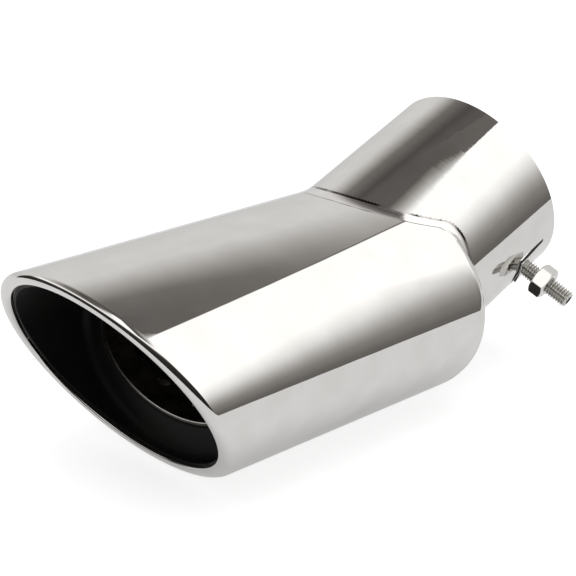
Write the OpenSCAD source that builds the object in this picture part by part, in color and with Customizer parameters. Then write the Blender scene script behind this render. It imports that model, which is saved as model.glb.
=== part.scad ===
// Angled exhaust tip. An oval sheet-metal body with a leaning, rolled mouth is welded to a round
// inlet pipe, which slips over a tail pipe and is held there by a set screw.
// X runs along the body, rearward from the mouth. Z is up. The two axes meet at the origin.

/* [Body] */
// How much wider the oval body is than the inlet pipe
body_extra_w = 23; // [20:0.5:40]
// How much higher the oval body is than the inlet pipe
body_extra_h = 1; // [0.5:0.5:10]
// Distance from the bend to the middle of the mouth
mouth_x = 99; // [90:1:140]
// Lean of the mouth from square, with its top reaching further forward
mouth_lean = 30; // [20:1:32]
// Sheet thickness of the body
body_wall = 1.2; // [1:0.1:1.3]

/* [Rolled lip] */
// Radius of the roll on the outside of the mouth
lip_r = 3; // [2.5:0.1:4]
// Depth of the outside roll, measured along the body
lip_depth = 3.3; // [2.8:0.1:4]
// Radius of the roll where it turns back into the mouth
lip_in_r = 1.4; // [1.35:0.05:2]
// Length of the flange that returns inside the mouth
lip_return = 4; // [3:0.5:6]

/* [Rear shoulder] */
// How far the straight wall runs on behind the place where the pipe leaves the body's underside
shoulder_gap = 9; // [9:0.5:14]
// Outside radius of the shoulder
shoulder_r = 6; // [4:0.5:7]
// Angle that the sheet turns through at the shoulder
shoulder_turn = 75; // [60:1:80]
// Leg length of the weld fillet round the pipe
weld_leg = 3; // [2:0.5:3]

/* [Inlet pipe] */
// Outside diameter of the inlet pipe
pipe_d = 70; // [67:0.5:70]
// Wall thickness of the inlet pipe
pipe_wall = 1.2; // [1:0.1:1.5]
// Upward angle of the pipe from the body's axis
bend = 22; // [18:1:23]
// Length of the pipe behind the bend
pipe_len = 70; // [68:1:120]

/* [Clamp] */
// Position of the clamp round the pipe, from its underside towards the screw's side
clamp_angle = 60; // [0:1:120]
// Width of the tongue cut in the pipe wall
tongue_w = 10.6; // [10:0.1:14]
// Length of the tongue
tongue_len = 13; // [12.5:0.5:16]
// Width of the cut round the tongue
slit_w = 1.5; // [1:0.1:2.5]
// Uncut wall between the tongue and the rear rim
rim_left = 6.2; // [4:0.1:10]
// Outward set of the tongue
tongue_lift = 4; // [2:0.5:5]
// Thread diameter of the set screw
screw_d = 6; // [5:0.5:6]
// Length of the set screw
screw_len = 20; // [16:1:25]
// Gap between the tongue and the lock nut
nut_gap = 5; // [1:0.5:5.5]
// Width of the nut across its flats
nut_flats = 10; // [9:0.5:11]
// Height of the nut
nut_h = 5.2; // [4:0.1:6]

/* [Inside] */
// Sheet thickness of the black liner
liner_wall = 0.8; // [0.7:0.1:1]
// Radius of the corner where the liner turns inward
liner_corner = 3; // [1.5:0.1:3]
// How far the sides of the oval inner tube lie inside the body's sides
core_inset_w = 13; // [12:0.5:20]
// How far the top of the inner tube lies below the body's top
core_inset_h = 15.5; // [13:0.5:18]
// Wall thickness of the inner tube
core_wall = 1; // [0.8:0.1:1.2]
// How far the inner tube's front edge lies behind the lowest point of the mouth
core_depth = 3.5; // [3.5:0.5:8]
// Gap between the inner tube's rear end and the origin
core_rear_gap = 12; // [11:1:16]
// Diameter of the holes in the inner tube
hole_d = 4.5; // [3:0.5:5]
// Holes round the inner tube
holes_round = 12; // [6:1:14]
// Rows of holes along the inner tube
hole_rows = 5; // [1:1:5]
// Distance between the rows of holes
hole_pitch = 9; // [7:0.5:9]

/* [Hidden] */
// Points round the oval. Every sheet-metal ring has the same ones, so that neighbours meet face to face.
around = 72;
pipe_r = pipe_d / 2;
half_w = (pipe_d + body_extra_w) / 2;
half_h = (pipe_d + body_extra_h) / 2;
shoulder_x = (pipe_r / cos(bend) - half_h) / tan(bend) + shoulder_gap;
// The inner tube's oval, and its two ends
core_half_w = half_w - core_inset_w;
core_half_h = half_h - core_inset_h;
core_front = -mouth_x + half_h * tan(mouth_lean) + core_depth;
core_rear = -core_rear_gap;
// Sheet length of the shoulder's turn, on its outside
turn_len = shoulder_r * shoulder_turn * PI / 180;
// Distances back from the seam at which the rings of the shell are placed
seam_steps = [0, 0.34, 0.67, 1];
outside_steps = [4.5, 6, 7.2, 8.4, 9.6, 10.8, 12, 13.2, 14.4, 15.6, 17];
inside_steps = [0, 5, 9, 11.5, 14, 17];
lip_w = lip_r + lip_in_r;
// Where the liner starts behind the lip's roll, and the collar that it ends in
liner_start = 1;
collar_r = 1.2;
collar_len = 5;
// Places along the pipe
tongue_root = pipe_len - rim_left;
tongue_front = tongue_root - tongue_len;
// Metal left between the tongue's front edge and the screw's hole
hole_edge = 0.8;
screw_at = tongue_front + screw_d / 2 + hole_edge;
// Depth under the pipe's surface at which the tongue starts to rise
root_sink = 0.04;
// Height of the tongue above the pipe wall, at the screw
screw_lift = (tongue_root - screw_at) * tan(tongue_lift);
// How far the screw's inner end stands past the tongue
screw_past = 0.3;
screw_base = pipe_r - pipe_wall + screw_lift - screw_past;
nut_base = pipe_r + screw_lift + nut_gap;
smooth = 96;

// Outward direction of the oval at the angle a
function oval_out(a) =
    let (n = [cos(a) / half_w, sin(a) / half_h]) n / norm(n);

// Point [y, z] of the oval at the angle a, moved inward
function oval(a, inset) =
    [half_w * cos(a), half_h * sin(a)] - inset * oval_out(a);

// Point at a distance behind the leaning plane of the mouth
function behind_mouth(p, depth) =
    [depth - mouth_x - p[1] * tan(mouth_lean), p[0], p[1]];

// Point of the body's sheet. u is measured along the sheet from where the shoulder starts to turn,
// and skin is the depth below the outside surface.
function sheet(a, u, skin) =
    let (
        turned = min(max(u, 0), turn_len) / shoulder_r * 180 / PI,
        past = max(u - turn_len, 0),
        r = shoulder_r - skin,
        p = oval(a, shoulder_r - r * cos(turned) + past * sin(shoulder_turn))
    )
    [shoulder_x + min(u, 0) + r * sin(turned) + past * cos(shoulder_turn), p[0], p[1]];

// Distance from a point to the outside of the inlet pipe
function off_pipe(p) =
    norm([p[1], p[2] * cos(bend) - p[0] * sin(bend)]) - pipe_r;

// Where the sheet meets the pipe, found by halving the stretch between low and high
function seam(a, skin, low, high, steps = 26) =
    steps == 0 ? (low + high) / 2 :
    let (middle = (low + high) / 2)
    off_pipe(sheet(a, middle, skin)) > 0 ?
        seam(a, skin, middle, high, steps - 1) :
        seam(a, skin, low, middle, steps - 1);

// The stretch to search starts on the plane square to the pipe through the origin
function seam_at(a, skin) =
    seam(a, skin, -half_h * sin(a) * tan(bend) - shoulder_x, turn_len + 20);

// Profile of the rolled lip at the angle a, from the wall to the end of the return flange
function lip(a, skin, fine) = [
    for (t = [0 : fine : 90])
        behind_mouth(oval(a, skin + (lip_r - skin) * (1 - cos(t))), skin + (lip_depth - skin) * (1 - sin(t))),
    for (t = [fine : fine : 90])
        behind_mouth(oval(a, lip_r + (lip_in_r - skin) * sin(t)), skin + (lip_in_r - skin) * (1 - cos(t))),
    behind_mouth(oval(a, lip_r + lip_in_r - skin), lip_in_r + lip_return)
];

function backwards(list) = [for (i = [len(list) - 1 : -1 : 0]) list[i]];

// Closed profile of the shell at the angle a: outside, lip, back of the lip, inside
function shell_profile(a) =
    let (outside = seam_at(a, 0), inside = seam_at(a, body_wall))
    concat(
        [for (s = seam_steps) sheet(a, outside - s * weld_leg, 0)],
        [for (d = outside_steps) sheet(a, outside - d, 0)],
        lip(a, 0, 15),
        backwards(lip(a, body_wall, 30)),
        backwards([for (d = inside_steps) sheet(a, inside - d, body_wall)])
    );

// Closed profile of the weld at the angle a: along the shell, then a hollow curve to the pipe
function weld_profile(a) =
    let (
        outside = seam_at(a, 0),
        root = sheet(a, outside, 0),
        on_shell = sheet(a, outside - weld_leg, 0),
        on_pipe = root + weld_leg * [cos(bend), 0, sin(bend)]
    )
    concat(
        [for (s = seam_steps) sheet(a, outside - s * weld_leg, 0)],
        [for (t = [0.2 : 0.2 : 1]) (1 - t) * (1 - t) * on_shell + 2 * t * (1 - t) * root + t * t * on_pipe]
    );

// Point at the place x along the body, on the inner tube's oval moved outward
function core_oval(a, x, outward) =
    [x, (core_half_w + outward) * cos(a), (core_half_h + outward) * sin(a)];

// One side of the liner at the angle a: along the lip's flange, round the corner, straight inward,
// and round the collar that holds the inner tube. skin is 0 on the side that shows.
function liner_side(a, skin) =
    let (
        corner_x = core_front - liner_corner,
        corner_in = lip_w + liner_wall + liner_corner,
        turn = liner_corner + skin
    )
    [
        behind_mouth(oval(a, corner_in - turn), lip_in_r + liner_start),
        for (t = [0 : 30 : 90])
            let (p = oval(a, corner_in - turn * cos(t))) [corner_x + turn * sin(t), p[0], p[1]],
        for (t = [0 : 30 : 90])
            core_oval(a, core_front + collar_r - (collar_r - skin) * cos(t), collar_r - (collar_r - skin) * sin(t)),
        core_oval(a, core_front + collar_r + collar_len, skin)
    ];

// Closed profile of the liner at the angle a: the side that shows, then its back
function liner_profile(a) =
    concat(liner_side(a, 0), backwards(liner_side(a, liner_wall)));

// Solid swept by a closed profile round the body
module ring_solid(profiles, inward) {
    n = len(profiles);
    m = len(profiles[0]);
    points = [for (profile = profiles) each profile];
    corners = [for (i = [0 : n - 1], j = [0 : m - 1])
        [i * m + j, ((i + 1) % n) * m + j, ((i + 1) % n) * m + (j + 1) % m, i * m + (j + 1) % m]];
    halves = [for (c = corners) each [[c[0], c[1], c[2]], [c[0], c[2], c[3]]]];
    faces = inward ? halves : [for (f = halves) backwards(f)];
    polyhedron(points, faces, convexity = 6);
}

module along_pipe() {
    rotate([0, 90 - bend, 0]) children();
}

// Frame of the clamp: X points out of the pipe through the screw, Z runs along the pipe
module at_clamp() {
    along_pipe() rotate([0, 0, -clamp_angle]) children();
}

// Block over the tongue, wider by extra at its sides and front, and longer by rear behind its root
module tongue_block(extra, rear) {
    translate([pipe_r / 2, -tongue_w / 2 - extra, tongue_front - extra])
        cube([pipe_r, tongue_w + 2 * extra, tongue_len + extra + rear]);
}

// Cone that lifts the tongue off a surface of radius r. It starts just under that surface at the
// root, and reaches into the slit on the other sides.
module tongue_rise(r) {
    length = tongue_len + slit_w / 2;
    intersection() {
        translate([0, 0, tongue_root - length])
            cylinder(r1 = r + length * tan(tongue_lift), r2 = r - root_sink, h = length, $fn = smooth);
        tongue_block(slit_w * 3 / 4, 1);
    }
}

// Cut round the front and sides of the tongue
module tongue_slit() {
    difference() {
        tongue_block(slit_w, 0);
        tongue_block(0, 1);
    }
}

module outer_shell() {
    color("silver")
        ring_solid([for (i = [0 : around - 1]) shell_profile(i * 360 / around)], false);
}

module seam_weld() {
    color("gainsboro")
        ring_solid([for (i = [0 : around - 1]) weld_profile(i * 360 / around)], true);
}

module inlet_pipe() {
    color("silver") at_clamp() difference() {
        union() {
            cylinder(r = pipe_r, h = pipe_len, $fn = smooth);
            tongue_rise(pipe_r);
        }
        translate([0, 0, -1]) cylinder(r = pipe_r - pipe_wall, h = pipe_len + 2, $fn = smooth);
        tongue_rise(pipe_r - pipe_wall);
        tongue_slit();
        translate([0, 0, screw_at]) rotate([0, 90, 0])
            cylinder(r = screw_d / 2, h = pipe_r * 2, $fn = smooth);
    }
}

module inner_liner() {
    color("#141414")
        ring_solid([for (i = [0 : around - 1]) liner_profile(i * 360 / around)], false);
}

// Oval bar along the body, smaller than the inner tube by inset
module oval_bar(inset, from, to) {
    high = core_half_h - inset;
    translate([from, 0, 0])
        scale([1, (core_half_w - inset) / high, 1])
            rotate([0, 90, 0]) cylinder(r = high, h = to - from, $fn = smooth);
}

module inner_tube() {
    drill_reach = 2;
    first_row = core_front + collar_r + collar_len + hole_d;
    color("#26241f") difference() {
        oval_bar(0, core_front, core_rear);
        oval_bar(core_wall, core_front - 1, core_rear + 1);
        // Each drill stands square to the wall and stops short of the middle. Alternate rows are staggered.
        for (row = [0 : hole_rows - 1], hole = [0 : holes_round - 1]) {
            a = (hole + (row % 2) / 2) * 360 / holes_round;
            slope = atan2(core_half_w * sin(a), core_half_h * cos(a));
            translate(core_oval(a, first_row + row * hole_pitch, 0))
                rotate([slope - 90, 0, 0]) translate([0, 0, -core_wall - drill_reach])
                    cylinder(r = hole_d / 2, h = core_wall + 2 * drill_reach, $fn = 32);
        }
    }
}

module set_screw() {
    chamfer = 0.7;
    socket_r = screw_d / 2 / sqrt(3);
    socket_depth = 3;
    color("dimgray") at_clamp() translate([screw_base, 0, screw_at]) rotate([0, 90, 0]) difference() {
        union() {
            cylinder(r1 = screw_d / 2 - chamfer, r2 = screw_d / 2, h = chamfer, $fn = smooth);
            translate([0, 0, chamfer]) cylinder(r = screw_d / 2, h = screw_len - 2 * chamfer, $fn = smooth);
            translate([0, 0, screw_len - chamfer])
                cylinder(r1 = screw_d / 2, r2 = screw_d / 2 - chamfer, h = chamfer, $fn = smooth);
        }
        translate([0, 0, screw_len - socket_depth]) cylinder(r = socket_r, h = socket_depth + 1, $fn = 6);
    }
}

module lock_nut() {
    corner_r = nut_flats / sqrt(3);
    chamfer = 0.75;
    face_r = nut_flats / 2 - 0.3;
    turned_r = corner_r + 0.1;
    color("lightgray") at_clamp() translate([nut_base, 0, screw_at]) rotate([0, 90, 0]) difference() {
        intersection() {
            cylinder(r = corner_r, h = nut_h, $fn = 6);
            // Turned chamfer on both faces
            rotate_extrude($fn = smooth)
                polygon([
                    [0, 0], [face_r, 0], [turned_r, chamfer],
                    [turned_r, nut_h - chamfer], [face_r, nut_h], [0, nut_h]
                ]);
        }
        translate([0, 0, -1]) cylinder(r = screw_d / 2, h = nut_h + 2, $fn = smooth);
    }
}

outer_shell();
seam_weld();
inlet_pipe();
inner_liner();
inner_tube();
set_screw();
lock_nut();
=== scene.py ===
# Looks of the angled exhaust tip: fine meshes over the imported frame, materials, studio and camera.
import math

import bmesh
import bpy
from mathutils import Matrix, Vector


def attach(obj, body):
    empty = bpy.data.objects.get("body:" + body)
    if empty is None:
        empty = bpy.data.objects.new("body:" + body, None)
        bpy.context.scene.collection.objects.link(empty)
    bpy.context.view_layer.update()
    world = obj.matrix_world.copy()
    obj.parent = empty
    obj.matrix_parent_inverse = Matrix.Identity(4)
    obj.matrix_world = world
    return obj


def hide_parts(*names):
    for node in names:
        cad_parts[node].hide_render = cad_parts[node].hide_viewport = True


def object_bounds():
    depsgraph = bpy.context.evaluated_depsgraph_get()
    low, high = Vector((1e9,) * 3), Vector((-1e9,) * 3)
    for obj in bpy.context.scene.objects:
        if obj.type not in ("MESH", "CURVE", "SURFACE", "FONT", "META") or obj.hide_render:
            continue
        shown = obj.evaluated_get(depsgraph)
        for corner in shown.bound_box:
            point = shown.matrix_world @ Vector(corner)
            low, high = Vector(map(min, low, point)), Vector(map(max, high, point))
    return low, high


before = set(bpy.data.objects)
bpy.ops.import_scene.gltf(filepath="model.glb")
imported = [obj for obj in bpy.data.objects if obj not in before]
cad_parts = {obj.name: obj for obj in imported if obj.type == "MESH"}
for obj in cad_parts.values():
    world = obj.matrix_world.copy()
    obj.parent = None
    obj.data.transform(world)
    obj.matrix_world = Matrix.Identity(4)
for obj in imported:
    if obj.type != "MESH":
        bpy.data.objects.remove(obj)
cad_low, cad_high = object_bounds()

# Sizes in millimetres, the same as the part's
MM = 0.001
HALF_W = 93 / 2
HALF_H = 71 / 2
MOUTH_X = 99
MOUTH_LEAN = math.radians(30)
BODY_WALL = 1.2
LIP_R = 3
LIP_DEPTH = 3.3
LIP_IN_R = 1.4
LIP_RETURN = 4
PIPE_R = 35
PIPE_WALL = 1.2
PIPE_LEN = 70
BEND = math.radians(22)
SHOULDER_GAP = 9
SHOULDER_X = (PIPE_R / math.cos(BEND) - HALF_H) / math.tan(BEND) + SHOULDER_GAP
SHOULDER_R = 6
SHOULDER_TURN = math.radians(75)
TURN_LEN = SHOULDER_R * SHOULDER_TURN
WELD_LEG = 3
CLAMP_ANGLE = math.radians(60)
TONGUE_W = 10.6
TONGUE_LEN = 13
TONGUE_LIFT = math.tan(math.radians(4))
SLIT_W = 1.5
RIM_LEFT = 6.2
SCREW_R = 3
SCREW_LEN = 20
SCREW_PITCH = 1.0
SCREW_CHAMFER = 0.7
SCREW_PAST = 0.3
SOCKET_DEPTH = 3
NUT_GAP = 5
NUT_FLATS = 10
NUT_H = 5.2
NUT_CHAMFER = 0.75
NUT_FACE_R = NUT_FLATS / 2 - 0.3
NUT_TURNED_R = NUT_FLATS / math.sqrt(3) + 0.1
LINER_WALL = 0.8
LINER_CORNER = 3
LINER_BEHIND_LIP = 1
COLLAR_R = 1.2
COLLAR_LEN = 5
CORE_HALF_W = HALF_W - 13
CORE_HALF_H = HALF_H - 15.5
CORE_FRONT = -MOUTH_X + HALF_H * math.tan(MOUTH_LEAN) + 3.5

TONGUE_ROOT = PIPE_LEN - RIM_LEFT
TONGUE_FRONT = TONGUE_ROOT - TONGUE_LEN
HOLE_EDGE = 0.8
SCREW_AT = TONGUE_FRONT + SCREW_R + HOLE_EDGE
SCREW_LIFT = (TONGUE_ROOT - SCREW_AT) * TONGUE_LIFT
SCREW_BASE = PIPE_R - PIPE_WALL + SCREW_LIFT - SCREW_PAST
NUT_BASE = PIPE_R + SCREW_LIFT + NUT_GAP

# Fineness of the meshes: points round the body, and along the parts of a ring
AROUND = 288
SHEET_REACH = 17
SHEET_STEPS = 40
LIP_STEPS = 12
CORNER_STEPS = 8
COLLAR_STEPS = 6
SMOOTH_ANGLE = math.radians(32)
BEVEL_SEGMENTS = 2

# Points of a weld ring: under the bead, then over its face from the shell to the pipe
WELD_UNDER = 5
WELD_FACE = 18
SHELL_TOE = (WELD_UNDER, WELD_UNDER + 1)
PIPE_TOE = tuple(range(WELD_UNDER + WELD_FACE - 3, WELD_UNDER + WELD_FACE + 1))


# Shape of the sheet metal

def steps(start, end, count):
    return [start + (end - start) * i / count for i in range(count + 1)]


def oval(a, inset):
    """Point (y, z) of the oval at the angle a, moved inward."""
    nx, nz = math.cos(a) / HALF_W, math.sin(a) / HALF_H
    size = math.hypot(nx, nz)
    return (HALF_W * math.cos(a) - inset * nx / size, HALF_H * math.sin(a) - inset * nz / size)


def behind_mouth(p, depth):
    """Point of the body at p (y, z), the depth behind the leaning plane of the mouth."""
    return Vector((depth - MOUTH_X - p[1] * math.tan(MOUTH_LEAN), p[0], p[1]))


def sheet(a, u, skin):
    """Point of the sheet, u along it from the shoulder's start and skin below its outside."""
    turned = min(max(u, 0), TURN_LEN) / SHOULDER_R
    past = max(u - TURN_LEN, 0)
    r = SHOULDER_R - skin
    p = oval(a, SHOULDER_R - r * math.cos(turned) + past * math.sin(SHOULDER_TURN))
    x = SHOULDER_X + min(u, 0) + r * math.sin(turned) + past * math.cos(SHOULDER_TURN)
    return Vector((x, p[0], p[1]))


def off_pipe(p):
    return math.hypot(p[1], p[2] * math.cos(BEND) - p[0] * math.sin(BEND)) - PIPE_R


def seam_at(a, skin):
    """Where the sheet meets the pipe, found by halving."""
    halvings = 40
    past_turn = 20
    low = -HALF_H * math.sin(a) * math.tan(BEND) - SHOULDER_X
    high = TURN_LEN + past_turn
    for _ in range(halvings):
        middle = (low + high) / 2
        if off_pipe(sheet(a, middle, skin)) > 0:
            low = middle
        else:
            high = middle
    return (low + high) / 2


def lip_points(a, skin, count):
    """Rolled lip from the body's side to the end of the flange inside the mouth."""
    points = []
    for t in steps(0, math.pi / 2, count):
        inset = skin + (LIP_R - skin) * (1 - math.cos(t))
        points.append(behind_mouth(oval(a, inset), skin + (LIP_DEPTH - skin) * (1 - math.sin(t))))
    for t in steps(0, math.pi / 2, count)[1:]:
        inset = LIP_R + (LIP_IN_R - skin) * math.sin(t)
        points.append(behind_mouth(oval(a, inset), skin + (LIP_IN_R - skin) * (1 - math.cos(t))))
    points.append(behind_mouth(oval(a, LIP_R + LIP_IN_R - skin), LIP_IN_R + LIP_RETURN))
    return points


def shell_ring(a):
    """Section of the body's sheet: outside from the seam to the lip, and back along its inside."""
    outside, inside = seam_at(a, 0), seam_at(a, BODY_WALL)
    ring = [sheet(a, outside - d, 0) for d in steps(0, SHEET_REACH, SHEET_STEPS)]
    ring += lip_points(a, 0, LIP_STEPS)
    ring += lip_points(a, BODY_WALL, LIP_STEPS // 2)[::-1]
    ring += [sheet(a, inside - d, BODY_WALL) for d in steps(0, SHEET_REACH, SHEET_STEPS // 2)][::-1]
    return ring


def weld_ring(a):
    """Section of the weld: under the bead on the shell, and its hollow face from shell to pipe."""
    outside = seam_at(a, 0)
    root = sheet(a, outside, 0)
    on_shell = sheet(a, outside - WELD_LEG, 0)
    on_pipe = root + WELD_LEG * Vector((math.cos(BEND), 0, math.sin(BEND)))
    ring = [sheet(a, outside - d, 0) for d in steps(0, WELD_LEG, WELD_UNDER)]
    for t in steps(0, 1, WELD_FACE)[1:]:
        ring.append((1 - t) ** 2 * on_shell + 2 * t * (1 - t) * root + t * t * on_pipe)
    return ring


def core_oval(a, x, outward):
    """Point at x, outward from the inner tube's oval."""
    return Vector((x, (CORE_HALF_W + outward) * math.cos(a), (CORE_HALF_H + outward) * math.sin(a)))


def liner_side(a, skin):
    """One side of the liner: flange, corner, step inward, collar round the inner tube."""
    corner_in = LIP_R + LIP_IN_R + LINER_WALL + LINER_CORNER
    turn = LINER_CORNER + skin
    points = [behind_mouth(oval(a, corner_in - turn), LIP_IN_R + LINER_BEHIND_LIP)]
    for t in steps(0, math.pi / 2, CORNER_STEPS):
        y, z = oval(a, corner_in - turn * math.cos(t))
        points.append(Vector((CORE_FRONT - LINER_CORNER + turn * math.sin(t), y, z)))
    roll = COLLAR_R - skin
    for t in steps(0, math.pi / 2, COLLAR_STEPS):
        x = CORE_FRONT + COLLAR_R - roll * math.cos(t)
        points.append(core_oval(a, x, COLLAR_R - roll * math.sin(t)))
    points.append(core_oval(a, CORE_FRONT + COLLAR_R + COLLAR_LEN, skin))
    return points


def liner_ring(a):
    return liner_side(a, 0) + liner_side(a, LINER_WALL)[::-1]


# Mesh helpers

PIPE_FRAME = Matrix.Rotation(math.pi / 2 - BEND, 3, "Y")
CLAMP_FRAME = PIPE_FRAME @ Matrix.Rotation(-CLAMP_ANGLE, 3, "Z")


def on_clamp(radial, side, along):
    """Point in the clamp's frame: radial runs out of the pipe through the screw."""
    return CLAMP_FRAME @ Vector((radial, side, along))


def on_screw(x, y, out):
    """Point in the screw's frame: out runs away from the pipe's axis."""
    return on_clamp(out, y, SCREW_AT - x)


def piece(name, verts, faces, slot, stands_for, smooth=SMOOTH_ANGLE):
    """A piece from points in millimetres, which stands for a node."""
    mesh = bpy.data.meshes.new(name)
    mesh.from_pydata([tuple(Vector(p) * MM) for p in verts], [], faces)
    mesh.update()
    work = bmesh.new()
    work.from_mesh(mesh)
    bmesh.ops.recalc_face_normals(work, faces=work.faces)
    work.to_mesh(mesh)
    work.free()
    mesh.shade_smooth()
    mesh.set_sharp_from_angle(angle=smooth)
    obj = bpy.data.objects.new(name, mesh)
    bpy.context.scene.collection.objects.link(obj)
    obj.data.materials.append(MATERIALS[slot])
    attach(obj, "root")
    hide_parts(stands_for)
    return obj


def swept(rings):
    """Points and faces of closed rings joined in a loop."""
    n, m = len(rings), len(rings[0])
    verts = [p for ring in rings for p in ring]
    faces = []
    for i in range(n):
        for j in range(m):
            next_i, next_j = (i + 1) % n, (j + 1) % m
            faces.append((i * m + j, next_i * m + j, next_i * m + next_j, i * m + next_j))
    return verts, faces


def bevelled(obj, width, angle):
    mod = obj.modifiers.new("edges", "BEVEL")
    mod.width = width * MM
    mod.segments = BEVEL_SEGMENTS
    mod.limit_method = "ANGLE"
    mod.angle_limit = math.radians(angle)
    mod.harden_normals = True
    return obj


def level_at(levels, value):
    """The level between the two listed places on each side of the value."""
    for (start, low_level), (end, high_level) in zip(levels, levels[1:]):
        if value <= end:
            share = (value - start) / (end - start)
            return low_level + (high_level - low_level) * share
    return levels[-1][1]


# Material nodes

def new_material(name):
    mat = bpy.data.materials.new(name)
    mat.use_nodes = True
    tree = mat.node_tree
    shader = next(n for n in tree.nodes if n.type == "BSDF_PRINCIPLED")
    return mat, tree, shader


def empty_material(name):
    """A material with nothing in it but its output."""
    mat = bpy.data.materials.new(name)
    mat.use_nodes = True
    tree = mat.node_tree
    tree.nodes.clear()
    return mat, tree, node(tree, "ShaderNodeOutputMaterial")


def node(tree, kind, inputs=None, **settings):
    made = tree.nodes.new(kind)
    for key, value in settings.items():
        setattr(made, key, value)
    for key, value in (inputs or {}).items():
        made.inputs[key].default_value = value
    return made


def position(tree, scale=(1, 1, 1), turn=(0, 0, 0)):
    """Object coordinates in metres, turned and stretched."""
    coords = node(tree, "ShaderNodeTexCoord")
    mapping = node(tree, "ShaderNodeMapping", {"Scale": scale, "Rotation": turn})
    tree.links.new(coords.outputs["Object"], mapping.inputs["Vector"])
    return mapping.outputs["Vector"]


def stretched(tree, vector, scale):
    made = node(tree, "ShaderNodeMapping", {"Scale": scale})
    tree.links.new(vector, made.inputs["Vector"])
    return made.outputs["Vector"]


def noise(tree, vector, scale, detail=3.0, roughness=0.5):
    made = node(tree, "ShaderNodeTexNoise", {"Scale": scale, "Detail": detail, "Roughness": roughness})
    tree.links.new(vector, made.inputs["Vector"])
    return made.outputs["Fac"]


def ramp(tree, value, low, high, from_low=0.3, from_high=0.7):
    """The value carried from one range to another. The first range fits most of a noise."""
    ends = {"From Min": from_low, "From Max": from_high, "To Min": low, "To Max": high}
    made = node(tree, "ShaderNodeMapRange", ends)
    tree.links.new(value, made.inputs["Value"])
    return made.outputs["Result"]


def bumped(tree, height, strength, distance, under=None):
    made = node(tree, "ShaderNodeBump", {"Strength": strength, "Distance": distance})
    tree.links.new(height, made.inputs["Height"])
    if under is not None:
        tree.links.new(under, made.inputs["Normal"])
    return made.outputs["Normal"]


def tinted(tree, share, dark, light):
    """A colour between two, each a colour or another node's output."""
    made = node(tree, "ShaderNodeMix", data_type="RGBA")
    sockets = [s for s in made.inputs if s.type == "RGBA"]
    for socket, colour in zip(sockets, (dark, light)):
        if isinstance(colour, tuple):
            socket.default_value = (*colour, 1)
        else:
            tree.links.new(colour, socket)
    tree.links.new(share, made.inputs["Factor"])
    return next(s for s in made.outputs if s.type == "RGBA")


def number_between(tree, share, start, end):
    """A number between start and another node's output."""
    made = node(tree, "ShaderNodeMix", data_type="FLOAT")
    made.inputs["A"].default_value = start
    tree.links.new(end, made.inputs["B"])
    tree.links.new(share, made.inputs["Factor"])
    return made.outputs["Result"]


def combined(tree, operation, first, second):
    """Two nodes' outputs multiplied, or the higher of them."""
    made = node(tree, "ShaderNodeMath", operation=operation)
    tree.links.new(first, made.inputs[0])
    tree.links.new(second, made.inputs[1])
    return made.outputs[0]


def length_of(tree, vector):
    made = node(tree, "ShaderNodeVectorMath", operation="LENGTH")
    tree.links.new(vector, made.inputs[0])
    return made.outputs["Value"]


def off_axis(tree, axis):
    """Distance in metres from the line through the origin along the axis."""
    made = node(tree, "ShaderNodeVectorMath", operation="CROSS_PRODUCT")
    tree.links.new(position(tree), made.inputs[0])
    made.inputs[1].default_value = axis
    return length_of(tree, made.outputs["Vector"])


# Materials: colours as (dark, light), scales of the noise per metre, heights of bumps in metres

STEEL = ((0.74, 0.73, 0.71), (0.80, 0.79, 0.775))
CLOUD_SCALE = 90.0
WAVE_SCALE = 28.0
LINE_STRETCH = (30, 900, 900)
LINE_STRENGTH = 0.05
LINE_HEIGHT = 0.00002
RIPPLE_STRETCH = (260, 14, 14)
RIPPLE_HEIGHT = 0.00003
# Inside of the pipe: dull, and dark with painted shade for the shadow in its bore and slit
DULL_AND_SHADED_STEEL = ((0.10, 0.095, 0.09), (0.17, 0.16, 0.15))
DULL_ROUGH = 0.42
DULL_AND_SHADED_UNTIL = (PIPE_R - 0.15) * MM
DULL_AND_SHADED_BLEND = 0.0001
WELD_STEEL = ((0.80, 0.775, 0.76), (0.86, 0.85, 0.84))
WELD_ROUGH = (0.06, 0.14)
WELD_PATCHES = 110.0
WELD_GRAIN_HEIGHT = 0.00003
# Painted shade along the weld's toes, for the shadow in the gap between shell and pipe, and the size of its
# breaks
TOE_SHADE_COLOUR = (0.035, 0.03, 0.027)
TOE_SHADE_PATCHES = 150.0
FINE_GRAIN = 900.0
GRAIN_HEIGHT = 0.00005
COAT_GLOSS = 0.15
COAT_PATCHES = 70.0
STAINED_STEEL = ((0.030, 0.026, 0.022), (0.085, 0.075, 0.063))
STAINED_METALLIC = 0.75
STAINED_ROUGH = (0.22, 0.34)
STAINED_PATCHES = 160.0
BARE_STEEL = (0.62, 0.60, 0.57)
BARE_EDGE = 0.6
BARE_BLEND = 0.004


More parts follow.
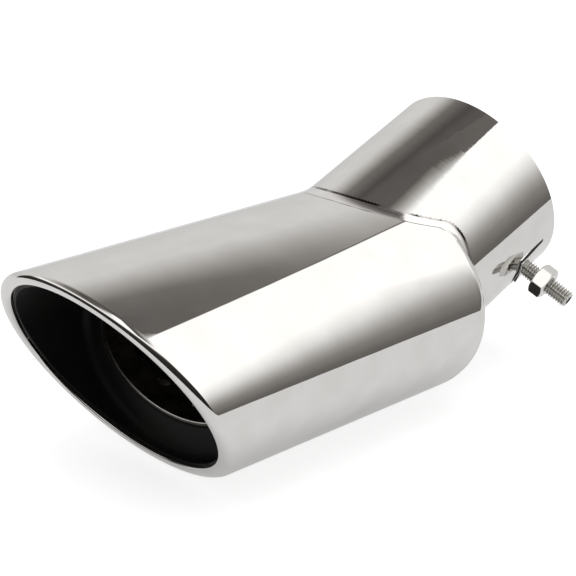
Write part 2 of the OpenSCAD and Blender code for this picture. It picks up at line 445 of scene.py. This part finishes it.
def polished(name, rough, wave, pipe=False):
    """Polished sheet: fine polishing lines, slow waves of the sheet, uneven gloss. On the pipe the lines
    run along it, short ripples lie across it, and its bore and cut edges are dull and darkened with painted
    shade."""
    mat, tree, shader = new_material(name)
    shader.inputs["Metallic"].default_value = 1.0
    lengthwise = position(tree, turn=(0, BEND if pipe else 0, 0))
    lines = noise(tree, stretched(tree, lengthwise, LINE_STRETCH), 1.0, 4.0, 0.6)
    slow = noise(tree, position(tree), WAVE_SCALE, 2.0)
    cloudy = noise(tree, position(tree), CLOUD_SCALE, 4.0)
    colour = tinted(tree, ramp(tree, cloudy, 0, 1), *STEEL)
    gloss = ramp(tree, cloudy, *rough)
    normal = bumped(tree, slow, 1.0, wave)
    if pipe:
        ripples = noise(tree, stretched(tree, lengthwise, RIPPLE_STRETCH), 1.0, 2.0)
        normal = bumped(tree, ripples, 1.0, RIPPLE_HEIGHT, normal)
        # Bore and cut edges: dull, and dark with painted shade
        radius = off_axis(tree, (math.cos(BEND), 0, math.sin(BEND)))
        outside = ramp(tree, radius, 0, 1, DULL_AND_SHADED_UNTIL - DULL_AND_SHADED_BLEND, DULL_AND_SHADED_UNTIL)
        colour = tinted(tree, outside, tinted(tree, ramp(tree, cloudy, 0, 1), *DULL_AND_SHADED_STEEL), colour)
        gloss = number_between(tree, outside, DULL_ROUGH, gloss)
    tree.links.new(colour, shader.inputs["Base Color"])
    tree.links.new(gloss, shader.inputs["Roughness"])
    normal = bumped(tree, lines, LINE_STRENGTH, LINE_HEIGHT, normal)
    tree.links.new(normal, shader.inputs["Normal"])
    return mat


def weld_metal():
    """Ground weld, with a line of painted shade here and there along its two toes, for the shadow in the
    gap between shell and pipe.
    """
    mat, tree, shader = new_material("weld")
    shader.inputs["Metallic"].default_value = 1.0
    grain = noise(tree, position(tree), FINE_GRAIN, 3.0)
    patches = noise(tree, position(tree), WELD_PATCHES, 2.0)
    toe_shade = node(tree, "ShaderNodeAttribute", attribute_name="toe_shade")
    # The toes get a painted shade, broken here and there
    broken = ramp(tree, noise(tree, position(tree), TOE_SHADE_PATCHES, 2.0), 0.35, 1, 0.35, 0.5)
    dark = combined(tree, "MULTIPLY", toe_shade.outputs["Fac"], broken)
    metal = tinted(tree, ramp(tree, patches, 0, 1), *WELD_STEEL)
    tree.links.new(tinted(tree, dark, metal, TOE_SHADE_COLOUR), shader.inputs["Base Color"])
    tree.links.new(ramp(tree, grain, *WELD_ROUGH), shader.inputs["Roughness"])
    tree.links.new(bumped(tree, grain, 0.2, WELD_GRAIN_HEIGHT), shader.inputs["Normal"])
    return mat


def coated(name, dark, light, rough, grain_scale, bump, metallic=0.0):
    """Painted or plated steel with a fine grain and dusty patches."""
    mat, tree, shader = new_material(name)
    shader.inputs["Metallic"].default_value = metallic
    if metallic == 0:
        shader.inputs["Specular IOR Level"].default_value = COAT_GLOSS
    grain = noise(tree, position(tree), grain_scale, 3.0)
    patches = noise(tree, position(tree), COAT_PATCHES, 4.0)
    tree.links.new(tinted(tree, ramp(tree, patches, 0, 1), dark, light), shader.inputs["Base Color"])
    tree.links.new(ramp(tree, patches, *rough), shader.inputs["Roughness"])
    tree.links.new(bumped(tree, grain, bump, GRAIN_HEIGHT), shader.inputs["Normal"])
    return mat


def tube_metal():
    """Dark heat-stained tube whose cut front edge is bare."""
    mat, tree, shader = new_material("dark_tube")
    shader.inputs["Metallic"].default_value = STAINED_METALLIC
    patches = noise(tree, position(tree), STAINED_PATCHES, 4.0)
    grain = noise(tree, position(tree), FINE_GRAIN, 3.0)
    stained = tinted(tree, ramp(tree, patches, 0, 1), *STAINED_STEEL)
    along = node(tree, "ShaderNodeSeparateXYZ")
    tree.links.new(position(tree), along.inputs[0])
    edge_x = [(CORE_FRONT + behind) * MM for behind in (0.1, 0.3)]
    behind_edge = ramp(tree, along.outputs["X"], 0, 1, *edge_x)
    across = position(tree, (0, 1 / (CORE_HALF_W * MM), 1 / (CORE_HALF_H * MM)))
    bare_until = 1 - BARE_EDGE / CORE_HALF_H
    past_bare = ramp(tree, length_of(tree, across), 0, 1, bare_until - BARE_BLEND, bare_until)
    covered = combined(tree, "MAXIMUM", behind_edge, past_bare)
    tree.links.new(tinted(tree, covered, BARE_STEEL, stained), shader.inputs["Base Color"])
    tree.links.new(ramp(tree, patches, *STAINED_ROUGH), shader.inputs["Roughness"])
    tree.links.new(bumped(tree, grain, 0.3, GRAIN_HEIGHT), shader.inputs["Normal"])
    return mat


MATERIALS = {
    "polished_body": polished("polished_body", rough=(0.008, 0.02), wave=0.00003),
    "weld": weld_metal(),
    "polished_pipe": polished("polished_pipe", rough=(0.01, 0.03), wave=0.00008, pipe=True),
    "black_liner": coated(
        "black_liner", (0.004, 0.004, 0.004), (0.009, 0.009, 0.008),
        rough=(0.45, 0.6), grain_scale=1500, bump=0.15),
    "dark_tube": tube_metal(),
    "screw_steel": coated(
        "screw_steel", (0.46, 0.45, 0.43), (0.62, 0.61, 0.58),
        rough=(0.08, 0.18), grain_scale=1800, bump=0.06, metallic=1.0),
    "nut_steel": coated(
        "nut_steel", (0.72, 0.71, 0.69), (0.85, 0.84, 0.82),
        rough=(0.05, 0.13), grain_scale=1200, bump=0.06, metallic=1.0),
}


# Body, weld and liner

# How dark the painted shade along the weld's toes is, by degrees round the oval from the side away from the
# screw
TOE_SHADE_LEVELS = [
    (0, 0.5), (50, 0.2), (80, 0.9), (108, 1), (112, 0.1), (117, 0.1), (120, 1), (139, 1), (145, 0.3),
    (190, 0.7), (260, 0.4), (360, 0.5)]


def ring_piece(name, ring, slot, stands_for):
    """A piece swept round the oval from its section at each angle."""
    rings = [ring(2 * math.pi * i / AROUND) for i in range(AROUND)]
    return piece(name, *swept(rings), slot, stands_for)


def mark_toe_shade(obj, ring_size):
    """Mark the weld's two toes, where a line of painted shade goes, by the angle round the oval."""
    layer = obj.data.attributes.new("toe_shade", "FLOAT", "POINT")
    for i in range(len(obj.data.vertices)):
        ring, place = divmod(i, ring_size)
        toe_shade = place in SHELL_TOE or place in PIPE_TOE
        layer.data[i].value = level_at(TOE_SHADE_LEVELS, 360 * ring / AROUND) if toe_shade else 0.0


# Pipe

# Steps of the pipe's grid along it, and across and along the tongue, and the least gaps between lines
PIPE_STEPS = 35
TONGUE_ACROSS = 14
TONGUE_ALONG = 13
LEAST_TURN = math.radians(0.5)
LEAST_STEP = 0.3
PIPE_BEVEL = 0.15
PIPE_BEVEL_ANGLE = 35

SLIT_FRONT = TONGUE_FRONT - SLIT_W
SLIT_SIDES = [math.asin(y / PIPE_R)
              for y in (-TONGUE_W / 2 - SLIT_W, -TONGUE_W / 2, TONGUE_W / 2, TONGUE_W / 2 + SLIT_W)]


def merged_lines(base, extra, gap):
    """Sorted grid lines: every extra one, and the base ones that aren't close to an extra one."""
    kept = [b for b in base if all(abs(b - e) > gap for e in extra)]
    return sorted(kept + list(extra))


def pipe_angles():
    """Grid lines round the pipe, with only its own lines inside the slit."""
    tongue = SLIT_SIDES + steps(SLIT_SIDES[1], SLIT_SIDES[2], TONGUE_ACROSS)[1:-1]
    lines = merged_lines(steps(-math.pi, math.pi, AROUND)[:-1], tongue, LEAST_TURN)
    return [a for a in lines if a in tongue or not SLIT_SIDES[0] < a < SLIT_SIDES[3]]


def pipe_stations():
    """Grid lines along the pipe."""
    ends = [0.0, SLIT_FRONT, TONGUE_FRONT, TONGUE_ROOT, PIPE_LEN]
    tongue = steps(TONGUE_FRONT, TONGUE_ROOT, TONGUE_ALONG)[1:-1]
    return merged_lines(steps(0, PIPE_LEN, PIPE_STEPS), ends + tongue, LEAST_STEP)


def tongue_lift(a, s):
    """How far the tongue stands out of the pipe's wall at an angle and a station."""
    small = 1e-6
    in_tongue = SLIT_SIDES[1] - small <= a <= SLIT_SIDES[2] + small and TONGUE_FRONT - small <= s
    return max(0.0, (TONGUE_ROOT - s) * TONGUE_LIFT) if in_tongue else 0.0


def is_metal(a, s):
    """Whether a cell with its middle at the angle and the station is outside the slit."""
    in_block = SLIT_SIDES[0] < a < SLIT_SIDES[3] and SLIT_FRONT < s < TONGUE_ROOT
    in_tongue = SLIT_SIDES[1] < a < SLIT_SIDES[2] and TONGUE_FRONT < s < TONGUE_ROOT
    return in_tongue or not in_block


def make_pipe():
    """The pipe's wall as a grid round and along it, with the slit's cells left out."""
    angles, along = pipe_angles(), pipe_stations()
    n, m = len(angles), len(along)
    next_angles = angles[1:] + [angles[0] + 2 * math.pi]
    solid = []
    for a, next_a in zip(angles, next_angles):
        solid.append([is_metal((a + next_a) / 2, (s + next_s) / 2) for s, next_s in zip(along, along[1:])])

    verts = []
    for r in (PIPE_R, PIPE_R - PIPE_WALL):
        for a in angles:
            for s in along:
                out = r + tongue_lift(a, s)
                verts.append(on_clamp(out * math.cos(a), out * math.sin(a), s))

    def at(layer, i, j):
        return layer * n * m + (i % n) * m + j

    faces = []

    def cut_edge(i, j, to_i, to_j):
        """The wall's thickness between two grid points."""
        faces.append([at(0, i, j), at(0, to_i, to_j), at(1, to_i, to_j), at(1, i, j)])

    for i in range(n):
        for j in range(m - 1):
            if not solid[i][j]:
                continue
            corners = ((i, j), (i + 1, j), (i + 1, j + 1), (i, j + 1))
            for layer in (0, 1):
                faces.append([at(layer, *corner) for corner in corners])
            if j == 0 or not solid[i][j - 1]:
                cut_edge(i, j, i + 1, j)
            if j == m - 2 or not solid[i][j + 1]:
                cut_edge(i, j + 1, i + 1, j + 1)
            if not solid[(i - 1) % n][j]:
                cut_edge(i, j, i, j + 1)
            if not solid[(i + 1) % n][j]:
                cut_edge(i + 1, j, i + 1, j + 1)
    used = sorted({k for f in faces for k in f})
    place = {k: p for p, k in enumerate(used)}
    kept_verts = [verts[k] for k in used]
    kept_faces = [[place[k] for k in f] for f in faces]
    obj = piece("pipe_wall", kept_verts, kept_faces, "polished_pipe", "inlet_pipe")
    return bevelled(obj, PIPE_BEVEL, PIPE_BEVEL_ANGLE)


# Screw and nut

# The thread's depth, and the shares of its pitch taken by the crest and the two flanks
THREAD_DEPTH = 0.61 * SCREW_PITCH
THREAD_CREST = 0.12
THREAD_FLANKS = 0.63
SOCKET_HALF = SCREW_R / math.sqrt(3) * math.cos(math.pi / 6)
NUT_BORE_CHAMFER = 0.35
NUT_BEVEL = 0.12
NUT_BEVEL_ANGLE = 28
STEPS_PER_PITCH = 12
SCREW_TURN_STEPS = 48
NUT_TURN_STEPS = 144
SCREW_SMOOTH = math.radians(40)
NUT_SMOOTH = math.radians(25)


def hexagon(half_flats, a):
    """Radius of a hexagon at the angle a."""
    return half_flats / math.cos((a + math.pi / 6) % (math.pi / 3) - math.pi / 6)


def screw_ring(radii, z):
    """Ring round the screw's axis from its radius at each of its points."""
    ring = []
    for i, r in enumerate(radii):
        a = 2 * math.pi * i / len(radii)
        ring.append(on_screw(r * math.cos(a), r * math.sin(a), SCREW_BASE + z))
    return ring


def thread_radius(z, share):
    """Radius at the height z and a share of a turn, inside the chamfers at the screw's ends."""
    limit = SCREW_R - SCREW_CHAMFER + min(z, SCREW_LEN - z, SCREW_CHAMFER)
    phase = (z / SCREW_PITCH - share) % 1.0
    flank = min(1.0, max(0.0, (abs(phase - 0.5) * 2 - THREAD_CREST) / THREAD_FLANKS))
    return min(SCREW_R - THREAD_DEPTH * flank, limit)


def make_screw():
    """Set screw with a real thread, chamfered ends and a hex socket."""
    turns = range(SCREW_TURN_STEPS)
    rings = []
    for z in steps(0, SCREW_LEN, int(SCREW_LEN / SCREW_PITCH * STEPS_PER_PITCH)):
        rings.append(screw_ring([thread_radius(z, i / SCREW_TURN_STEPS) for i in turns], z))
    socket = [hexagon(SOCKET_HALF, 2 * math.pi * i / SCREW_TURN_STEPS) for i in turns]
    for z in (SCREW_LEN, SCREW_LEN - SOCKET_DEPTH):
        rings.append(screw_ring(socket, z))
    verts = [p for ring in rings for p in ring]
    m = SCREW_TURN_STEPS
    faces = []
    for k in range(len(rings) - 1):
        for i in turns:
            j = (i + 1) % m
            faces.append((k * m + i, k * m + j, (k + 1) * m + j, (k + 1) * m + i))
    faces.append(tuple(turns))
    faces.append(tuple(range(len(verts) - m, len(verts))))
    return piece("screw_thread", verts, faces, "screw_steel", "set_screw", SCREW_SMOOTH)


def nut_section(a):
    """The nut's section at the angle a, as (radius, height): bore, face and turned corner, both ends."""
    side = hexagon(NUT_FLATS / 2, a)
    cut = NUT_CHAMFER * (side - NUT_FACE_R) / (NUT_TURNED_R - NUT_FACE_R)
    half = [(SCREW_R, NUT_BORE_CHAMFER), (SCREW_R + NUT_BORE_CHAMFER, 0), (NUT_FACE_R, 0), (side, cut)]
    return half + [(r, NUT_H - z) for r, z in half[::-1]]


def make_nut():
    """Hex nut with turned corners and a chamfered bore."""
    rings = []
    for i in range(NUT_TURN_STEPS):
        a = 2 * math.pi * i / NUT_TURN_STEPS
        rings.append([on_screw(r * math.cos(a), r * math.sin(a), NUT_BASE + z) for r, z in nut_section(a)])
    obj = piece("nut_hex", *swept(rings), "nut_steel", "lock_nut", NUT_SMOOTH)
    return bevelled(obj, NUT_BEVEL, NUT_BEVEL_ANGLE)


ring_piece("body_sheet", shell_ring, "polished_body", "outer_shell")
# The weld's toes carry a line of painted shade
mark_toe_shade(ring_piece("weld_bead", weld_ring, "weld", "seam_weld"), len(weld_ring(0)))
ring_piece("liner_funnel", liner_ring, "black_liner", "inner_liner")
make_pipe()
make_screw()
make_nut()
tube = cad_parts["inner_tube"]
tube.data.materials.clear()
tube.data.materials.append(MATERIALS["dark_tube"])


# Studio

# Strengths of the world and the floor for the camera, for mirrors and for matt light
WORLD_SEEN = 1.0
WORLD_MIRRORED = 1.0
WORLD_MATT = 0.55
FLOOR_SEEN = 0.78
FLOOR_MIRRORED = 0.37
FLOOR_PAPER = 0.4

# Floor and lamp, in metres
FLOOR_SIZE = 12
FLOOR_DROP = 0.0002
LAMP_SIZE = 1.2
LAMP_POWER = 14
LAMP_AT = (-0.3, -0.2, 1.4)

# Cards, in millimetres, with grey levels as mirrors see them. Polished steel gives back about 0.78.
FLOOR_Z = cad_low.z / MM
WHITE = 1.35

# Far dome: levels by degrees above the floor, on the side away from the camera and on the near side
DOME_R = 3000
DOME_UP_STEPS = 60
DOME_TURN_STEPS = 72
DOME_AWAY = [
    (0, 0.66), (20, 0.76), (32, 0.76), (38, 0.64), (44, 0.46), (48, 0.33), (52, 0.2), (58, 0.16),
    (66, 0.09), (72, 0.12), (90, 0.14)]
DOME_NEAR = [(0, 0.3), (8, 0.5), (15, 0.8), (22, 1.15), (30, WHITE), (90, WHITE)]

# Light overhead: its slanting edge, soft until one x and sharp past a fade, with a dark margin outside
TOP_CARD_Z = 400
TOP_CARD_SLOPE = 0.791
TOP_CARD_Y = -228.7
TOP_CARD_X = (-500, 108, 114, 120, 126, 132, 137, 142, 165, 182, 900)
TOP_CARD_REACH = -1100
SOFT_EDGE = 110
SHARP_EDGE = 4
SOFT_UNTIL_X = 108
SOFT_FADE = 34
DARK_MARGIN = 220
DARK_FADE = 74
DARK_BY_SOFT = 0.12
DARK_BY_SHARP = 0.158
EDGE_LEVELS = [(1, 0.13), (0.6, 0.35), (0.15, 0.68), (-0.2, 1.1), (-0.5, WHITE)]

# Low wall on the screw side, which turns round the mouth: levels by share of its graded height
WALL_Y = -157
WALL_SLANT = 0.2
WALL_START_X = -60
WALL_END_X = 700
WALL_BASE = 100
WALL_RISE = 0.75
WALL_MOST = 260
WALL_WHITE_TO = 200
WALL_STEPS = 60
WALL_UP_STEPS = 40
WALL_LEVELS = [
    (0, 0.15), (0.1, 0.17), (0.3, 0.28), (0.42, 0.42), (0.55, 0.64), (0.65, 0.85), (0.75, 1.03),
    (0.87, 1.2), (1, WHITE)]
FRONT_R = 205
FRONT_TURN = 150
FRONT_HEIGHT = 190
FRONT_RISE_TURN = 14
FRONT_LEVELS = [(0, 0.02), (0.6, 0.04), (0.72, 0.3), (0.85, WHITE), (1, WHITE)]

# Shade on the floor under the pipe: places across it, and how far inside its soft rim each one is
SHADE_X = [(29, 0), (34, 1), (58, 1), (72, 0)]
SHADE_Y = [(-27, 0), (-22, 1), (6, 1), (16, 0)]
SHADE_DARK = 0.03
SHADE_PALE = 0.64
SHADE_DROP = 0.1


def strength_by_ray(tree, seen, mirrored, matt):
    """A strength of its own for rays from the camera or through glass, off a mirror, and for matt light."""
    path = node(tree, "ShaderNodeLightPath")
    total = None
    for ray, level in (("Is Camera Ray", seen), ("Is Transmission Ray", seen), ("Is Glossy Ray", mirrored)):
        add = node(tree, "ShaderNodeMath", {1: level - matt, 2: matt}, operation="MULTIPLY_ADD")
        tree.links.new(path.outputs[ray], add.inputs[0])
        if total is not None:
            tree.links.new(total, add.inputs[2])
        total = add.outputs[0]
    return total


def make_world():
    world = bpy.data.worlds.new("studio")
    bpy.context.scene.world = world
    world.use_nodes = True
    tree = world.node_tree
    tree.nodes.clear()
    out = node(tree, "ShaderNodeOutputWorld")
    light = node(tree, "ShaderNodeBackground", {"Color": (1, 1, 1, 1)})
    strength = strength_by_ray(tree, WORLD_SEEN, WORLD_MIRRORED, WORLD_MATT)
    tree.links.new(strength, light.inputs["Strength"])
    tree.links.new(light.outputs[0], out.inputs["Surface"])


def make_floor():
    """A pale floor: part of its white is its own, so that the shadow on it stays soft and light."""
    bpy.ops.mesh.primitive_plane_add(size=FLOOR_SIZE, location=(0, 0, cad_low.z - FLOOR_DROP))
    floor = bpy.context.object
    floor.name = "floor"
    mat, tree, out = empty_material("floor_paper")
    paper = node(tree, "ShaderNodeBsdfDiffuse", {"Color": (FLOOR_PAPER, FLOOR_PAPER, FLOOR_PAPER, 1)})
    glow = node(tree, "ShaderNodeEmission", {"Color": (1, 1, 1, 1)})
    tree.links.new(strength_by_ray(tree, FLOOR_SEEN, FLOOR_MIRRORED, 0.0), glow.inputs["Strength"])
    both = node(tree, "ShaderNodeAddShader")
    tree.links.new(paper.outputs[0], both.inputs[0])
    tree.links.new(glow.outputs[0], both.inputs[1])
    tree.links.new(both.outputs[0], out.inputs["Surface"])
    floor.data.materials.append(mat)


def make_card_paper():
    """Light of a card by its shade, a little warmer where it is dark."""
    mat, tree, out = empty_material("card_paper")
    shade = node(tree, "ShaderNodeAttribute", attribute_name="shade")
    glow = node(tree, "ShaderNodeEmission")
    pale = ramp(tree, shade.outputs["Fac"], 0, 1, 0.1, 0.7)
    tree.links.new(tinted(tree, pale, (1, 0.925, 0.87), (1, 0.99, 0.975)), glow.inputs["Color"])
    tree.links.new(shade.outputs["Fac"], glow.inputs["Strength"])
    tree.links.new(glow.outputs[0], out.inputs["Surface"])
    return mat


def card(name, rows):
    """A sheet of light and dark that only mirrors see, from rows of points in millimetres and levels."""
    flat = [entry for row in rows for entry in row]
    wide = len(rows[0])
    faces = []
    for i in range(len(rows) - 1):
        for j in range(wide - 1):
            faces.append((i * wide + j, i * wide + j + 1, (i + 1) * wide + j + 1, (i + 1) * wide + j))
    mesh = bpy.data.meshes.new(name)
    mesh.from_pydata([tuple(Vector(point) * MM) for point, _ in flat], [], faces)
    layer = mesh.attributes.new("shade", "FLOAT", "POINT")
    for i, (_, level) in enumerate(flat):
        layer.data[i].value = level
    obj = bpy.data.objects.new(name, mesh)
    bpy.context.scene.collection.objects.link(obj)
    obj.data.materials.append(CARD_PAPER)
    obj.visible_camera = False
    obj.visible_diffuse = False
    obj.visible_shadow = False
    obj.visible_transmission = False


def dome_level(turn, height):
    """Level of the far studio: turn from +X towards +Y and height above the floor, in degrees."""
    rear = max(0, math.cos(math.radians(turn)))
    away = 0.5 + 1.1 * rear + (1.5 + 0.5 * rear) * math.sin(math.radians(turn))
    away = min(1, max(0, away))
    return away * level_at(DOME_AWAY, height) + (1 - away) * level_at(DOME_NEAR, height)


def make_dome():
    rows = []
    for height in steps(0, 90, DOME_UP_STEPS):
        row = []
        for turn in steps(0, 360, DOME_TURN_STEPS):
            a, b = math.radians(turn), math.radians(height)
            x, y = DOME_R * math.cos(b) * math.cos(a), DOME_R * math.cos(b) * math.sin(a)
            row.append(((x, y, FLOOR_Z + DOME_R * math.sin(b)), dome_level(turn, height)))
        rows.append(row)
    card("studio_dome", rows)


def make_top_card():
    """Big white light overhead. Its one straight edge crosses the object slantwise, sharp as the body
    mirrors it and soft on the pipe's front. Outside the edge lies a dark margin."""
    rows = []
    for x in TOP_CARD_X:
        edge_y = TOP_CARD_SLOPE * x + TOP_CARD_Y
        sharp = min(1, max(0, (x - SOFT_UNTIL_X) / SOFT_FADE))
        width = SOFT_EDGE + (SHARP_EDGE - SOFT_EDGE) * sharp
        margin = max(2 * SHARP_EDGE, DARK_MARGIN * min(1, 1 - (x - SOFT_UNTIL_X) / DARK_FADE))
        dark = DARK_BY_SOFT + (DARK_BY_SHARP - DARK_BY_SOFT) * sharp
        across = [(margin, dark)]
        across += [(width * share, max(level, dark)) for share, level in EDGE_LEVELS]
        row = [((x, edge_y + off, TOP_CARD_Z), level) for off, level in across]
        row.append(((x, TOP_CARD_REACH, TOP_CARD_Z), WHITE))
        rows.append(row)
    card("top_light", rows)


def wall_column(x, y, height, levels):
    """One column of the wall, with plain white above its graded part up to the wall's full height."""
    column = []
    for share in steps(0, 1, WALL_UP_STEPS):
        column.append(((x, y, FLOOR_Z + height * share), level_at(levels, share)))
    return column + [((x, y, FLOOR_Z + max(height + 1, WALL_WHITE_TO)), WHITE)]


def make_side_wall():
    """Low wall beside the object on its screw side and round its mouth: dark foot, white top."""
    rows = []
    start_height = WALL_BASE + WALL_RISE * WALL_START_X
    for turn in steps(FRONT_TURN, 0, WALL_STEPS)[:-1]:
        a = math.radians(-90 - turn)
        height = start_height + (FRONT_HEIGHT - start_height) * min(1, turn / FRONT_RISE_TURN)
        x = WALL_START_X + FRONT_R * math.cos(a)
        y = WALL_Y - WALL_SLANT * WALL_START_X + FRONT_R * (1 + math.sin(a))
        rows.append(wall_column(x, y, height, FRONT_LEVELS))
    for x in steps(WALL_START_X, WALL_END_X, WALL_STEPS):
        height = min(WALL_BASE + WALL_RISE * x, WALL_MOST)
        rows.append(wall_column(x, WALL_Y - WALL_SLANT * x, height, WALL_LEVELS))
    card("side_wall", rows)


def make_floor_shade():
    """The dark of the object's own shadow under the pipe, as the nut and screw mirror it."""
    rows = []
    for x, in_x in SHADE_X:
        row = []
        for y, in_y in SHADE_Y:
            level = SHADE_PALE + (SHADE_DARK - SHADE_PALE) * min(in_x, in_y)
            row.append(((x, y, FLOOR_Z - SHADE_DROP), level))
        rows.append(row)
    card("floor_shade", rows)


def make_lamp():
    lamp = bpy.data.lights.new("soft_top", "AREA")
    lamp.shape = "RECTANGLE"
    lamp.size = LAMP_SIZE
    lamp.size_y = LAMP_SIZE
    lamp.energy = LAMP_POWER
    obj = bpy.data.objects.new("soft_top", lamp)
    obj.location = LAMP_AT
    obj.rotation_euler = (Vector((0, 0, 0)) - obj.location).to_track_quat("-Z", "Y").to_euler()
    obj.visible_glossy = False
    bpy.context.scene.collection.objects.link(obj)


# Camera: position in millimetres, axes and focal length solved from the photograph's outlines

CAMERA_AT = (-363.2, -346.6, 186.4)
CAMERA_RIGHT = (0.7167, -0.6974, 0.0)
CAMERA_AHEAD = (0.6550, 0.6731, -0.3433)
FOCAL_PX = 1612
FRAME_PX = 576
SENSOR = 36
CLIP_NEAR = 0.01
CLIP_FAR = 20


def make_camera():
    """The photograph's view."""
    right = Vector(CAMERA_RIGHT).normalized()
    ahead = Vector(CAMERA_AHEAD).normalized()
    up = right.cross(ahead).normalized()
    right = ahead.cross(up)
    data = bpy.data.cameras.new("photo_view")
    data.sensor_width = SENSOR
    data.lens = FOCAL_PX / FRAME_PX * data.sensor_width
    data.clip_start = CLIP_NEAR
    data.clip_end = CLIP_FAR
    cam = bpy.data.objects.new("photo_view", data)
    turn = Matrix((right, up, -ahead)).transposed()
    cam.matrix_world = Matrix.Translation(Vector(CAMERA_AT) * MM) @ turn.to_4x4()
    bpy.context.scene.collection.objects.link(cam)
    bpy.context.scene.camera = cam


CARD_PAPER = make_card_paper()
make_world()
make_floor()
make_dome()
make_top_card()
make_side_wall()
make_floor_shade()
make_lamp()
make_camera()
bpy.context.scene.view_settings.view_transform = "Standard"
